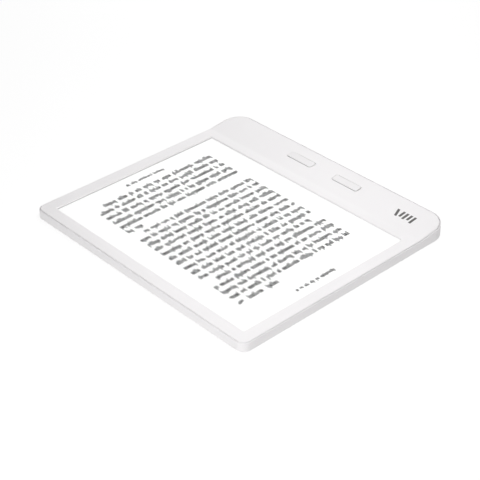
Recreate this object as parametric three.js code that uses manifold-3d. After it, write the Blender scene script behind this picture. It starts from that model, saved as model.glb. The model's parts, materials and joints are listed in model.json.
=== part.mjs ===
import * as THREE from 'three';
import { mergeVertices } from 'three/addons/utils/BufferGeometryUtils.js';
import Module from 'manifold-3d';

// E-reader with a recessed page window and a raised grip that carries two page-turn buttons.
// Millimetres. The case lies on its back: +X points to the grip edge, +Y to the head of the page
// and +Z out of the page. The origin is the centre of the case's footprint, on the back face.

// ---- Driving dimensions: front face, from the thin edge to the grip edge ----
const sideMargin = 7.75; // thin edge to the window
const windowWidth = 108.1; // window opening, across the page
const foldMargin = 6.15; // window to the fold line
const gripReach = 22; // fold line to the grip edge
const windowHeight = 142.9; // window opening, along the page
const endMargin = 8.05; // window to the head and the foot of the case
const windowCorner = 0.6;
const thinCorner = 4.75; // plan radius of the two thin corners
const gripCorner = 11.5; // plan radius of the two grip corners

// ---- Driving dimensions: depth ----
const thinDepth = 5.3; // front face over the page side
const gripDepth = 7.8; // highest edge of the grip
const windowDepth = 1; // front face down to the touch film
const backFillet = 0.35; // round along the edge of the back

// ---- Driving dimensions: shells ----
const wall = 1.2; // rear cover side wall
const floor = 0.8; // rear cover back
const bezelSkin = 0.8; // front bezel plate
const rimWidth = 0.4; // rear cover lip that shows around the bezel
const rimDrop = 0.45; // lip below the front face
const seamGap = 0.25; // groove between the lip and the bezel
const skirtWidth = 0.8; // locating rib under the bezel
const skirtDrop = 1.6; // bottom of that rib below the front face
const skirtGap = 0.2; // rib to the side wall
const ledgeGap = 0.2; // bezel plate to the ledge it is bonded to
const adhesiveInset = 0.1; // bezel's edge to the bonding film

// ---- Driving dimensions: display stack ----
const filmThickness = 0.3;
const guideThickness = 0.4;
const panelThickness = 0.65;
const tapeThickness = 0.15;
const tapeWidth = 6;
const frameThickness = 0.85;
const panelSide = 2.2; // panel past the window on the thin side
const panelFold = 2.6; // panel past the window on the grip side
const panelEnd = 3; // panel past the window at head and foot
const panelCorner = 0.8;
const guideInset = 0.2; // panel's edge to the light guide
const tapeInset = 1; // panel's edge to the tape under it
const layerGap = 0.05; // between bonded layers
const gasketInset = 0.4; // window edge to the foam gasket
const gasketWidth = 1.4;
const frameEdgeGap = 0.5; // side wall to the frame
const framePastPanel = 0.9; // frame past the panel on the grip side
const frameOpeningCorner = 1;

// ---- Driving dimensions: battery ----
const batteryWidth = 60;
const batteryHeight = 90;
const batteryInset = 22; // window's thin side to the battery
const batteryRoom = 0.15; // battery to the panel
const padThickness = 0.1;
const frameWindowGap = 0.6; // battery to the frame around it
const batteryCorner = 1.2;
const batteryHeadHeight = 4; // folded head of the pouch, which holds the protection circuit
const batteryHeadInset = 2;
const batteryHeadOverlap = 1; // head into the cell
const padInset = 4;
const padFoot = 6; // foot of the battery to the pad
const padHead = 10; // head of the battery to the pad
const padCorner = 1;
const ribGap = 0.8;
const ribWidth = 0.8;
const leadThickness = 0.5;
const leadLow = 23;
const leadHigh = 27;
const leadRoom = 2; // rib's end to the lead

// ---- Driving dimensions: front light along the foot of the page ----
const stripGap = 0.15; // panel's edge to the strip
const stripWidth = 2.1;
const stripStart = 4; // window's thin side to the strip's end
const stripTailGap = 0.7; // panel to the tail
const stripTailWidth = 1.5;
const tongueThickness = 0.1; // the bent end that enters the connector
const lampCount = 9;
const lampMargin = 8; // window's sides to the first and last lamp
const lampHalfLength = 1.5;
const lampDepth = 1;
const lampInset = 0.1; // strip's edge to its lamps
const lampHeight = 0.4;

// ---- Driving dimensions: magnets for a folding cover ----
const magnetSpacing = 60;
const magnetLength = 12;
const magnetHeight = 1.5;
const magnetGap = 0.25;

// ---- Driving dimensions: main board ----
const boardStandoff = 0.8;
const boardThickness = 0.8;
const boardEdgeGap = 1.3; // board to the side wall
const boardFoldGap = 0.5; // fold line to the board, towards the page
const boardNeckWidth = 7.5;
const boardLowLength = 34; // wide end below the page buttons
const boardHighLength = 10; // wide end above the page buttons
const boardCorner = 9.5;
const connectorHeight = 1.1;
const connectorWidth = 4;
const connectorInset = 1.1;
const pocketSide = 1.4; // wall of a connector along its length
const pocketEnd = 0.7; // wall of a connector at its ends
const pocketDepth = 0.4;
const boardEdgeCorner = 1;
const neckOverlap = 1; // narrow neck of the board into its wide ends
const neckRoom = 1.5; // button board's end to the wide ends
const partGap = 0.05; // a chip or a connector to the board
const flexThickness = 0.12;
const flexRise = 0.1; // connector to the middle of the cable on it
const screwInset = 2.4;

// ---- Driving dimensions: parts on the main board ----
const lightConnectorY = -23.5;
const touchConnectorY = -13;
const buttonConnectorY = -1;
const displayConnectorY = 12;
const batteryConnectorY = (leadLow + leadHigh) / 2;
const shieldInset = 8.2; // board's edge to the shield's middle
const shieldBelowPort = 8.7;
const shieldSize = 13;
const shieldHeight = 1.75;
const shieldSkin = 0.2;
const processorSize = 11;
const wifiWidth = 9;
const wifiLength = 6.6;
const wifiHeight = 1.5;
const wifiShift = 0.8; // shield's middle to the wireless module's middle
const wifiGap = 1.4; // shield to the wireless module
const aerialStart = 0.5; // fold line to the aerial
const aerialLength = 9.5;
const aerialThickness = 0.3;
const aerialGap = 0.1; // side wall to the aerial
const aerialLeadRadius = 0.35;

// ---- Driving dimensions: screws ----
const screwHead = 1.25;
const screwHeadHeight = 0.45;
const screwShank = 0.7;
const screwPlay = 0.1; // shank to its hole
const bossRadius = 1.8;
const holeFloor = 0.35; // plastic left under a screw hole
const screwTipGap = 0.15; // screw's tip to the bottom of its hole
const frameScrewInset = 2.8; // side wall to the screws on the thin side
const frameScrewEnd = 30; // head and foot of the case to those screws
const frameScrewPast = 1.55; // panel's end to the screws at head and foot
const frameScrewSide = 18; // window's grip side to the screws at head and foot
const driveRadius = 0.55;
const driveDepth = 0.25;

// ---- Driving dimensions: page buttons, in the plane of the grip ----
const pageButtonLength = 18;
const pageButtonWidth = 4.7;
const pageButtonGap = 16; // between the two buttons' near ends
const pageButtonInset = 9.05; // fold line to the buttons
const pageButtonCorner = 1.1;
const pageButtonLow = 0.12; // how proud the near end stands
const pageButtonHigh = 0.32; // how proud the far end stands
const buttonPlay = 0.3; // button to the slot around it
const flangeReach = 0.7;
const flangeThickness = 0.5;
const flangeGap = 0.2; // flange to the plate above it
const stemRadius = 1;
const stemLength = 0.2;
const travelRoom = 0.45; // stem to the seal under it
const sealGap = 0.35;
const sealWall = 0.5;
const sealFloor = 0.2;
const switchHeight = 0.45;
const nubHeight = 0.1;
const buttonBoardThickness = 0.4;
const buttonBoardEnd = 2.5; // board past the far end of a button
const buttonBoardSide = 0.2; // board past the inside of a seal
const buttonBoardCorner = 0.8;
const buttonScrewSpacing = 9;
const buttonBossRadius = 1.4;
const buttonHoleSkin = 0.3; // plastic left over a screw hole in the bezel
const buttonScrewLength = 1.9;
const switchHalfWidth = 1.6;
const switchHalfLength = 2.1;
const nubRadius = 0.8;

// ---- Driving dimensions: power button, status light and port ----
const powerRadius = 4.4;
const powerRecess = 0.15; // button face above the back
const powerPlay = 0.25;
const powerFlangeReach = 1;
const powerClear = 11.5; // main board to the button's axis
const statusClear = 3.3; // main board to the light's axis
const powerShift = 10; // fold line to the button's axis
const powerFlangeGap = 0.15; // back's inside to the flange
const powerStemRadius = 1.2;
const powerDish = 0.15; // how deep the cap's face is dished
const powerPostRadius = 0.9;
const powerPostSpread = 4.8; // light's axis to the posts beside it
const powerPostReach = 7.6; // button's axis to the post beyond it
const powerBoardSide = 6.4;
const powerBoardFoot = 1.6; // light's axis to the board's end
const powerBoardHead = 9; // button's axis to the board's other end
const statusRadius = 0.9;
const statusFlangeReach = 0.7;
const statusFlangeThickness = 0.35;
const statusRecess = 0.1; // pipe's face above the back
const statusLampRoom = 0.6; // pipe to the board
const statusLampHeight = 0.45;
const portWidth = 7.6;
const portHeight = 2.7;
const portDepth = 5.4;
const portShell = 0.3;
const portPlay = 0.4; // shell to the hole in the wall
const portBelowNeck = 5; // wide end of the board to the port's axis
const portSealWall = 0.7;
const portSealGap = 0.1;
const portSealLength = 0.9;
const portMouthGap = 0.1; // side wall's inside to the mouth
const portCorner = 0.9;
const portBackWall = 0.8;
const portTongueRoot = 0.4; // tongue into the back wall
const portTongueShort = 1; // mouth to the tongue
const portTongueHalfWidth = 2.2;
const portTongueRise = 0.1; // port's middle to the tongue
const portTongueThickness = 0.6;

// ---- Derived places ----
const caseWidth = sideMargin + windowWidth + foldMargin + gripReach;
const caseHeight = windowHeight + 2 * endMargin;
const halfWidth = caseWidth / 2;
const halfHeight = caseHeight / 2;
const windowLeft = -halfWidth + sideMargin;
const windowRight = windowLeft + windowWidth;
const windowTop = windowHeight / 2;
const foldX = windowRight + foldMargin;
const bezelInset = rimWidth + seamGap;
const ledgeDrop = bezelSkin + ledgeGap;
const gripSlope = Math.atan2(gripDepth - thinDepth, gripReach - bezelInset);

const filmTop = thinDepth - windowDepth;
const filmBottom = filmTop - filmThickness;
const guideTop = filmBottom - layerGap;
const guideBottom = guideTop - guideThickness;
const panelTop = guideBottom - layerGap;
const panelBottom = panelTop - panelThickness;
const tapeTop = panelBottom - layerGap;
const frameTop = tapeTop - tapeThickness - layerGap;
const frameBottom = frameTop - frameThickness;
const panelLeft = windowLeft - panelSide;
const panelRight = windowRight + panelFold;
const panelHalf = windowTop + panelEnd;

const batteryLeft = windowLeft + batteryInset;
const batteryRight = batteryLeft + batteryWidth;
const batteryHalf = batteryHeight / 2;
const batteryBottom = floor + padThickness + 2 * layerGap;
const batteryTop = panelBottom - batteryRoom;

const boardBottom = floor + boardStandoff;
const boardTop = boardBottom + boardThickness;
const partBottom = boardTop + partGap;
const boardLeft = foldX - boardFoldGap;
const boardRight = halfWidth - wall - boardEdgeGap;
const buttonFar = pageButtonGap / 2 + pageButtonLength;
const buttonBoardHalf = buttonFar + buttonBoardEnd;
const neckHalf = buttonBoardHalf + neckRoom;
const boardLow = -neckHalf - boardLowLength;
const boardHigh = neckHalf + boardHighLength;
const connectorLeft = boardLeft + connectorInset;
const connectorTop = partBottom + connectorHeight;
const flexLevel = connectorTop + flexRise;
const buttonU = pageButtonInset + pageButtonWidth / 2;
const buttonBoardReach = pageButtonWidth / 2 + flangeReach + sealGap + buttonBoardSide;
const buttonBoardLeft = buttonU - buttonBoardReach;
const buttonBoardRight = buttonU + buttonBoardReach;
const powerX = foldX + powerShift;
const powerY = boardHigh + powerClear;
const statusY = boardHigh + statusClear;
const portY = -neckHalf - portBelowNeck;
const portZ = partBottom + portHeight / 2;
const shieldX = boardLeft + shieldInset;
const shieldY = portY - portWidth / 2 - shieldBelowPort;
const wifiX = shieldX + wifiShift;
const wifiY = shieldY - shieldSize / 2 - wifiGap - wifiLength / 2;
const portMouth = halfWidth - wall - portMouthGap;

// ---- Finishes ----
const finishes = {
  whiteShell: { color: 0xf4f2f1, roughness: 0.55, metalness: 0 },
  pageFilm: { color: 0xfdfdfc, roughness: 0.45, metalness: 0 },
  clearAcrylic: { color: 0xe9f1f5, roughness: 0.15, metalness: 0 },
  panelGrey: { color: 0xd9d9d4, roughness: 0.4, metalness: 0 },
  blackFoam: { color: 0x26262a, roughness: 0.95, metalness: 0 },
  adhesive: { color: 0x3b3a3c, roughness: 0.8, metalness: 0 },
  magnesium: { color: 0xa7abb0, roughness: 0.5, metalness: 0.9 },
  pouch: { color: 0xb9bcc0, roughness: 0.35, metalness: 0.6 },
  boardGreen: { color: 0x1f5a3c, roughness: 0.5, metalness: 0 },
  epoxyBlack: { color: 0x1b1c1f, roughness: 0.6, metalness: 0 },
  connectorIvory: { color: 0xdcd3bd, roughness: 0.5, metalness: 0 },
  flexAmber: { color: 0xb8772c, roughness: 0.4, metalness: 0 },
  tinPlate: { color: 0xc6c9cc, roughness: 0.35, metalness: 1 },
  steel: { color: 0x9b9fa5, roughness: 0.3, metalness: 1 },
  magnet: { color: 0x8f9296, roughness: 0.3, metalness: 1 },
  silicone: { color: 0x55565b, roughness: 0.85, metalness: 0 },
  wireBlack: { color: 0x202124, roughness: 0.6, metalness: 0 },
};

const materials = {};
for (const [name, values] of Object.entries(finishes)) {
  materials[name] = new THREE.MeshStandardMaterial({ name, ...values });
}

// ---- Solids and booleans ----
const wasm = await Module();
wasm.setup();

const AXIS_X = new THREE.Vector3(1, 0, 0);
const AXIS_Y = new THREE.Vector3(0, 1, 0);
const AXIS_Z = new THREE.Vector3(0, 0, 1);
const OVERSHOOT = 1; // how far a cutter reaches past what it cuts
const ROOT = 0.2; // how far an added rib or boss is sunk into its shell

function toSolid(geometry) {
  const bare = geometry.clone();
  bare.deleteAttribute('normal');
  bare.deleteAttribute('uv');
  const merged = mergeVertices(bare, 1e-5);
  return new wasm.Manifold(new wasm.Mesh({
    numProp: 3,
    vertProperties: Float32Array.from(merged.attributes.position.array),
    triVerts: Uint32Array.from(merged.index.array),
  }));
}

function toGeometry(solid) {
  const mesh = solid.getMesh();
  const geometry = new THREE.BufferGeometry();
  geometry.setAttribute('position', new THREE.BufferAttribute(mesh.vertProperties, 3));
  geometry.setIndex(new THREE.BufferAttribute(mesh.triVerts, 1));
  geometry.computeVertexNormals();
  return geometry;
}

function join(base, ...others) {
  return toGeometry(others.reduce((sum, other) => sum.add(toSolid(other)), toSolid(base)));
}

function cut(base, ...tools) {
  return toGeometry(tools.reduce((rest, tool) => rest.subtract(toSolid(tool)), toSolid(base)));
}

function common(first, second) {
  return toGeometry(toSolid(first).intersect(toSolid(second)));
}

// ---- Outlines ----

// One quarter of a circle, anticlockwise from the angle given in quarter turns
function quarter(cx, cy, radius, turn) {
  const steps = radius > 3 ? 8 : 3;
  const points = [];
  for (let i = 0; i <= steps; i += 1) {
    const angle = (turn + i / steps) * Math.PI / 2;
    points.push(new THREE.Vector2(cx + radius * Math.cos(angle), cy + radius * Math.sin(angle)));
  }
  return points;
}

// A rectangle with its corners rounded: right is the radius of both corners at x1, left at x0
function roundedRect(x0, x1, y0, y1, right, left = right) {
  return new THREE.Shape([
    ...quarter(x1 - right, y1 - right, right, 0),
    ...quarter(x0 + left, y1 - left, left, 1),
    ...quarter(x0 + left, y0 + left, left, 2),
    ...quarter(x1 - right, y0 + right, right, 3),
  ]);
}

// The plan outline of the case, drawn in by a distance
function caseOutline(inset) {
  return roundedRect(
    -halfWidth + inset, halfWidth - inset, -halfHeight + inset, halfHeight - inset,
    gripCorner - inset, thinCorner - inset,
  );
}

function windowOutline(grow) {
  return roundedRect(
    windowLeft - grow, windowRight + grow, -windowTop - grow, windowTop + grow, windowCorner + grow,
  );
}

// ---- Basic solids ----
function prism(shape, z0, z1) {
  const geometry = new THREE.ExtrudeGeometry(shape, { depth: z1 - z0, bevelEnabled: false });
  return geometry.translate(0, 0, z0);
}

// The shape is drawn in X and Z
function prismAlongY(shape, y0, y1) {
  const turn = new THREE.Matrix4().makeBasis(AXIS_X, AXIS_Z, AXIS_Y.clone().negate());
  return prism(shape, 0, y1 - y0).applyMatrix4(turn).translate(0, y1, 0);
}

// The shape is drawn in Y and Z
function prismAlongX(shape, x0, x1) {
  const turn = new THREE.Matrix4().makeBasis(AXIS_Y, AXIS_Z, AXIS_X);
  return prism(shape, 0, x1 - x0).applyMatrix4(turn).translate(x0, 0, 0);
}

function ring(outer, inner, z0, z1) {
  return cut(prism(outer, z0, z1), prism(inner, z0 - OVERSHOOT, z1 + OVERSHOOT));
}

function block(x0, x1, y0, y1, z0, z1) {
  return new THREE.BoxGeometry(x1 - x0, y1 - y0, z1 - z0)
    .translate((x0 + x1) / 2, (y0 + y1) / 2, (z0 + z1) / 2);
}

function rod(x, y, radius, z0, z1, sides = 16) {
  return new THREE.CylinderGeometry(radius, radius, z1 - z0, sides)
    .rotateX(Math.PI / 2)
    .translate(x, y, (z0 + z1) / 2);
}

// A turned piece: its profile is radius and height, from the axis back to the axis
function turned(profile, x, y, sides = 24) {
  const points = profile.map(([radius, height]) => new THREE.Vector2(radius, height));
  return new THREE.LatheGeometry(points, sides).rotateX(Math.PI / 2).translate(x, y, 0);
}

// The closed outline of a strip of even thickness around a bent centre line
function stripShape(line, thickness) {
  const points = line.map(([a, b]) => new THREE.Vector2(a, b));
  const above = [];
  const below = [];
  points.forEach((point, i) => {
    const before = points[Math.max(i - 1, 0)];
    const after = points[Math.min(i + 1, points.length - 1)];
    const into = i > 0 ? point.clone().sub(before).normalize() : after.clone().sub(point).normalize();
    const out = i < points.length - 1 ? after.clone().sub(point).normalize() : into.clone();
    const mitre = into.clone().add(out).normalize();
    const normal = new THREE.Vector2(-mitre.y, mitre.x);
    const reach = thickness / 2 / Math.max(mitre.dot(into), 0.5);
    above.push(point.clone().addScaledVector(normal, reach));
    below.unshift(point.clone().addScaledVector(normal, -reach));
  });
  return new THREE.Shape([...above, ...below]);
}

// ---- The front surface: level over the page, then sloping up from the fold ----

// Everything above the front face when the face is lowered by a distance, square to itself
function aboveFront(drop) {
  const level = thinDepth - drop;
  const turn = foldX + drop * Math.tan(gripSlope / 2);
  const farX = halfWidth + OVERSHOOT;
  const farZ = level + (farX - turn) * Math.tan(gripSlope);
  const top = gripDepth + 2 * OVERSHOOT;
  const outline = new THREE.Shape([
    new THREE.Vector2(-halfWidth - OVERSHOOT, level),
    new THREE.Vector2(turn, level),
    new THREE.Vector2(farX, farZ),
    new THREE.Vector2(farX, top),
    new THREE.Vector2(-halfWidth - OVERSHOOT, top),
  ]);
  return prismAlongY(outline, -halfHeight - OVERSHOOT, halfHeight + OVERSHOOT);
}

// A ring or plate of the given plan outline that lies between two depths below the front face
function underFront(plan, upperDrop, lowerDrop) {
  return cut(common(plan, aboveFront(lowerDrop)), aboveFront(upperDrop));
}

function planBlank(shape) {
  return prism(shape, 0, gripDepth + OVERSHOOT);
}

// A frame on the grip plane: x runs up the slope from the fold, z stands square to the surface
function gripFrame() {
  const group = new THREE.Group();
  group.position.set(foldX, 0, thinDepth);
  group.rotation.y = -gripSlope;
  return group;
}

function toCase(geometry) {
  const frame = gripFrame();
  frame.updateMatrix();
  return geometry.applyMatrix4(frame.matrix);
}

// ---- Screws ----
function screw(shankLength) {
  return turned([
    [0, -shankLength],
    [screwShank, -shankLength],
    [screwShank, 0],
    [screwHead, 0],
    [screwHead, screwHeadHeight],
    [driveRadius, screwHeadHeight],
    [driveRadius, screwHeadHeight - driveDepth],
    [0, screwHeadHeight - driveDepth],
  ], 0, 0, 12);
}

const boardScrews = [
  [boardLeft + screwInset, boardHigh - screwInset],
  [boardRight - screwInset, boardHigh - screwInset],
  [boardLeft + screwInset, boardLow + screwInset],
  [boardRight - screwInset, boardLow + boardCorner + screwInset],
];

const frameScrewX = -halfWidth + wall + frameScrewInset;
const frameScrewY = panelHalf + frameScrewPast;
const frameScrews = [
  [frameScrewX, halfHeight - frameScrewEnd],
  [frameScrewX, -halfHeight + frameScrewEnd],
  [windowRight - frameScrewSide, frameScrewY],
  [windowRight - frameScrewSide, -frameScrewY],
];

const powerPosts = [
  [powerX - powerPostSpread, statusY],
  [powerX + powerPostSpread, statusY],
  [powerX, powerY + powerPostReach],
];

// ---- Case ----
function frontBezel() {
  const plate = underFront(planBlank(caseOutline(bezelInset)), 0, bezelSkin);
  const skirtOuter = wall + skirtGap;
  const skirtRing = ring(
    caseOutline(skirtOuter), caseOutline(skirtOuter + skirtWidth), 0, gripDepth + OVERSHOOT,
  );
  const skirt = underFront(skirtRing, bezelSkin - ROOT, skirtDrop);
  const bosses = [1, -1].map((side) => toCase(rod(
    buttonU, side * buttonScrewSpacing / 2, buttonBossRadius,
    buttonBoardTop + layerGap, -bezelSkin + ROOT,
  )));
  const screwHoles = [1, -1].map((side) => toCase(rod(
    buttonU, side * buttonScrewSpacing / 2, screwShank + screwPlay,
    buttonBoardTop - OVERSHOOT, -bezelSkin - buttonHoleSkin,
  )));
  const slots = [1, -1].map((side) => toCase(prism(
    pageButtonOutline(side, buttonPlay), -bezelSkin - OVERSHOOT, OVERSHOOT,
  )));
  const windowCut = prism(windowOutline(0), 0, thinDepth + OVERSHOOT);
  return cut(join(plate, skirt, ...bosses), windowCut, ...slots, ...screwHoles);
}

function perimeterAdhesive() {
  const outer = bezelInset + adhesiveInset;
  const band = ring(caseOutline(outer), caseOutline(wall - layerGap), 0, gripDepth + OVERSHOOT);
  return underFront(band, bezelSkin + layerGap, ledgeDrop - layerGap);
}

function rearCover() {
  const blank = new THREE.ExtrudeGeometry(caseOutline(0), {
    depth: gripDepth - backFillet,
    bevelThickness: backFillet,
    bevelSize: backFillet,
    bevelOffset: -backFillet,
    bevelSegments: 3,
  }).translate(0, 0, backFillet);
  const seat = common(planBlank(caseOutline(rimWidth)), aboveFront(ledgeDrop));
  const cavity = prism(caseOutline(wall), floor, gripDepth + 2 * OVERSHOOT);
  const tray = cut(blank, aboveFront(rimDrop), seat, cavity);

  const boardBosses = boardScrews.map(([x, y]) => rod(
    x, y, bossRadius, floor - ROOT, boardBottom - layerGap,
  ));
  const frameBosses = frameScrews.map(([x, y]) => rod(
    x, y, bossRadius, floor - ROOT, frameBottom - layerGap,
  ));
  const posts = powerPosts.map(([x, y]) => rod(
    x, y, powerPostRadius, floor - ROOT, powerBoardBottom - layerGap,
  ));
  const fitted = join(tray, ...boardBosses, ...frameBosses, ...posts, ...batteryRibs());

  const holes = [...boardScrews, ...frameScrews].map(([x, y]) => rod(
    x, y, screwShank + screwPlay, holeFloor, gripDepth,
  ));
  const powerHole = rod(powerX, powerY, powerRadius + powerPlay, -OVERSHOOT, floor + OVERSHOOT, 40);
  const statusHole = rod(powerX, statusY, statusRadius + powerPlay, -OVERSHOOT, floor + OVERSHOOT);
  const port = prismAlongX(portOutline(portPlay), halfWidth - wall - OVERSHOOT, halfWidth + OVERSHOOT);
  return cut(fitted, ...holes, powerHole, statusHole, port);
}

// Low ribs on the floor around the battery, open on the side where its lead comes out
function batteryRibs() {
  const low = floor - ROOT;
  const high = frameBottom - layerGap;
  const near = ribGap;
  const far = ribGap + ribWidth;
  return [
    block(batteryLeft - far, batteryLeft - near, -batteryHalf, batteryHalf, low, high),
    block(batteryRight + near, batteryRight + far, -batteryHalf, leadLow - leadRoom, low, high),
    block(batteryLeft, batteryRight, batteryHalf + near, batteryHalf + far, low, high),
    block(batteryLeft, batteryRight, -batteryHalf - far, -batteryHalf - near, low, high),
  ];
}

// A magnet for a folding cover, on the frame between the panel and the rib under the bezel
function coverMagnet(side) {
  const left = -halfWidth + wall + skirtGap + skirtWidth + magnetGap;
  const y = side * magnetSpacing / 2;
  const half = magnetLength / 2;
  const z0 = frameTop + layerGap;
  return block(left, panelLeft - magnetGap, y - half, y + half, z0, z0 + magnetHeight);
}

// ---- Display ----
function panelOutline(inset) {
  return roundedRect(
    panelLeft + inset, panelRight - inset, -panelHalf + inset, panelHalf - inset, panelCorner,
  );
}

function displayGasket() {
  const top = thinDepth - bezelSkin - layerGap;
  const inner = windowOutline(gasketInset);
  const outer = windowOutline(gasketInset + gasketWidth);
  return ring(outer, inner, filmTop + layerGap, top);
}

function midFrame() {
  const edge = wall + frameEdgeGap;
  const plate = prism(roundedRect(
    -halfWidth + edge, panelRight + framePastPanel, -halfHeight + edge, halfHeight - edge,
    panelCorner, thinCorner - edge,
  ), frameBottom, frameTop);
  const gap = frameWindowGap;
  const opening = prism(roundedRect(
    batteryLeft - gap, batteryRight + gap, -batteryHalf - gap, batteryHalf + gap, frameOpeningCorner,
  ), frameBottom - OVERSHOOT, frameTop + OVERSHOOT);
  const holes = frameScrews.map(([x, y]) => rod(
    x, y, screwShank + screwPlay, frameBottom - OVERSHOOT, frameTop + OVERSHOOT,
  ));
  const leadNotch = block(
    batteryRight, panelRight + 2 * OVERSHOOT, leadLow - gap, leadHigh + gap, 0, gripDepth,
  );
  return cut(plate, opening, leadNotch, ...holes);
}

// Front-light strip along the foot of the page, with its tail running up to the board
function lightStrip() {
  const edge = -panelHalf - stripGap;
  const low = edge - stripWidth;
  const tailLeft = panelRight + stripTailGap;
  const tailRight = tailLeft + stripTailWidth;
  const level = (guideBottom + guideTop) / 2;
  const z0 = level - flexThickness / 2;
  const z1 = level + flexThickness / 2;
  const strip = block(windowLeft + stripStart, tailRight, low, edge, z0, z1);
  const tail = block(tailLeft, tailRight, low, lightConnectorY + 2, z0, z1);
  const tongue = prismAlongY(stripShape([
    [tailLeft + 0.3, level],
    [tailRight + 0.1, level],
    [boardLeft + 0.6, flexLevel],
    [connectorLeft + 3.2, flexLevel],
  ], tongueThickness), lightConnectorY - 2, lightConnectorY + 1.5);
  const pitch = (windowWidth - 2 * lampMargin) / (lampCount - 1);
  const far = edge - lampInset - lampDepth;
  const lamps = [];
  for (let i = 0; i < lampCount; i += 1) {
    const x = windowLeft + lampMargin + i * pitch;
    lamps.push(block(
      x - lampHalfLength, x + lampHalfLength, far, edge - lampInset, level, level + lampHeight,
    ));
  }
  return join(strip, tail, tongue, ...lamps);
}

// A flat cable from the side of the page stack to the top of its connector
function sideFlex(startLevel, y0, y1) {
  return prismAlongY(stripShape([
    [panelRight + 0.12, startLevel],
    [panelRight + 1, startLevel],
    [boardLeft, flexLevel],
    [connectorLeft + connectorWidth - 0.4, flexLevel],
  ], flexThickness), y0, y1);
}

// ---- Battery ----
function battery() {
  const cell = prism(roundedRect(
    batteryLeft, batteryRight, -batteryHalf, batteryHalf - batteryHeadHeight, batteryCorner,
  ), batteryBottom, batteryTop);
  // The protection circuit, folded into the head of the pouch
  const head = block(
    batteryLeft + batteryHeadInset, batteryRight - batteryHeadInset,
    batteryHalf - batteryHeadHeight - batteryHeadOverlap, batteryHalf - 0.2,
    batteryBottom + 0.2, batteryTop - 0.4,
  );
  return join(cell, head);
}

function batteryLead() {
  const level = batteryBottom + leadThickness / 2;
  const top = flexLevel + leadThickness / 2;
  return prismAlongY(stripShape([
    [batteryRight + 0.1, level],
    [panelRight + 1.35, level],
    [panelRight + 2.15, top],
    [connectorLeft + connectorWidth - 0.4, top],
  ], leadThickness), leadLow, leadHigh);
}

// ---- Main board ----
function mainBoard() {
  const z0 = boardBottom;
  const z1 = boardTop;
  const edge = boardEdgeCorner;
  const neckRight = boardLeft + boardNeckWidth;
  const neckEnd = neckHalf + neckOverlap;
  const neck = block(boardLeft, neckRight, -neckEnd, neckEnd, z0, z1);
  const low = prism(roundedRect(boardLeft, boardRight, boardLow, -neckHalf, edge), z0, z1);
  const corner = prism(roundedRect(
    boardLeft, boardRight, boardLow, boardHigh, boardCorner, edge,
  ), 0, gripDepth);
  const high = prism(roundedRect(boardLeft, boardRight, neckHalf, boardHigh, edge), z0, z1);
  const holes = boardScrews.map(([x, y]) => rod(
    x, y, screwShank + screwPlay, boardBottom - OVERSHOOT, boardTop + OVERSHOOT,
  ));
  return cut(join(common(low, corner), neck, high), ...holes);
}

function connector(y, length) {
  const left = connectorLeft;
  const right = connectorLeft + connectorWidth;
  const body = block(left, right, y - length / 2, y + length / 2, partBottom, connectorTop);
  const pocketHalf = length / 2 - pocketEnd;
  const pocket = block(
    left + pocketSide, right - pocketSide, y - pocketHalf, y + pocketHalf,
    connectorTop - pocketDepth, gripDepth,
  );
  return cut(body, pocket);
}

function chip(x, y, width, length, height) {
  const top = partBottom + height;
  return block(x - width / 2, x + width / 2, y - length / 2, y + length / 2, partBottom, top);
}

// A chip on the side of the board that faces the back
function underChip(x, y, width, length) {
  const bottom = floor + 0.15;
  const top = boardBottom - partGap;
  return block(x - width / 2, x + width / 2, y - length / 2, y + length / 2, bottom, top);
}

// A pressed can over the processor: four walls and a lid
function processorShield() {
  const half = shieldSize / 2 - shieldSkin;
  const can = chip(shieldX, shieldY, shieldSize, shieldSize, shieldHeight);
  const hollow = block(
    shieldX - half, shieldX + half, shieldY - half, shieldY + half,
    0, partBottom + shieldHeight - shieldSkin,
  );
  return cut(can, hollow);
}

// ---- Port ----
function portOutline(grow) {
  const halfY = portWidth / 2 + grow;
  const halfZ = portHeight / 2 + grow;
  return roundedRect(portY - halfY, portY + halfY, portZ - halfZ, portZ + halfZ, portCorner + grow);
}

// A metal shell, open at its mouth, with the contact tongue standing on its back wall
function portReceptacle() {
  const back = portMouth - portDepth;
  const shell = cut(
    prismAlongX(portOutline(0), back, portMouth),
    prismAlongX(portOutline(-portShell), back + portBackWall, portMouth + OVERSHOOT),
  );
  const tongue = block(
    back + portTongueRoot, portMouth - portTongueShort,
    portY - portTongueHalfWidth, portY + portTongueHalfWidth,
    portZ + portTongueRise, portZ + portTongueRise + portTongueThickness,
  );
  return join(shell, tongue);
}

function portSeal() {
  const x0 = portMouth - portSealLength;
  return cut(
    prismAlongX(portOutline(portSealGap + portSealWall), x0, portMouth),
    prismAlongX(portOutline(portSealGap), x0 - OVERSHOOT, portMouth + OVERSHOOT),
  );
}

// ---- Wireless aerial ----
function antenna() {
  const x = foldX + aerialStart;
  const y = -halfHeight + wall + aerialGap;
  const top = thinDepth - skirtDrop - skirtGap;
  return block(x, x + aerialLength, y, y + aerialThickness, floor + 0.4, top);
}

function antennaLead() {
  const radius = aerialLeadRadius;
  const start = wifiY - wifiLength / 2;
  const end = -halfHeight + wall + 0.5 + radius;
  const level = partBottom + 0.6;
  const path = new THREE.CatmullRomCurve3([
    new THREE.Vector3(shieldX + 2, start - 0.2, level),
    new THREE.Vector3(shieldX + 2, start - 2.5, level),
    new THREE.Vector3(shieldX - 0.5, (start + end) / 2, level),
    new THREE.Vector3(shieldX - 2.5, end + 1.2, level),
    new THREE.Vector3(shieldX - 2.5, end, level),
  ]);
  const section = new THREE.Shape(Array.from({ length: 8 }, (_, i) => new THREE.Vector2(
    radius * Math.cos(i * Math.PI / 4), radius * Math.sin(i * Math.PI / 4),
  )));
  return new THREE.ExtrudeGeometry(section, { steps: 14, extrudePath: path, bevelEnabled: false });
}

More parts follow.
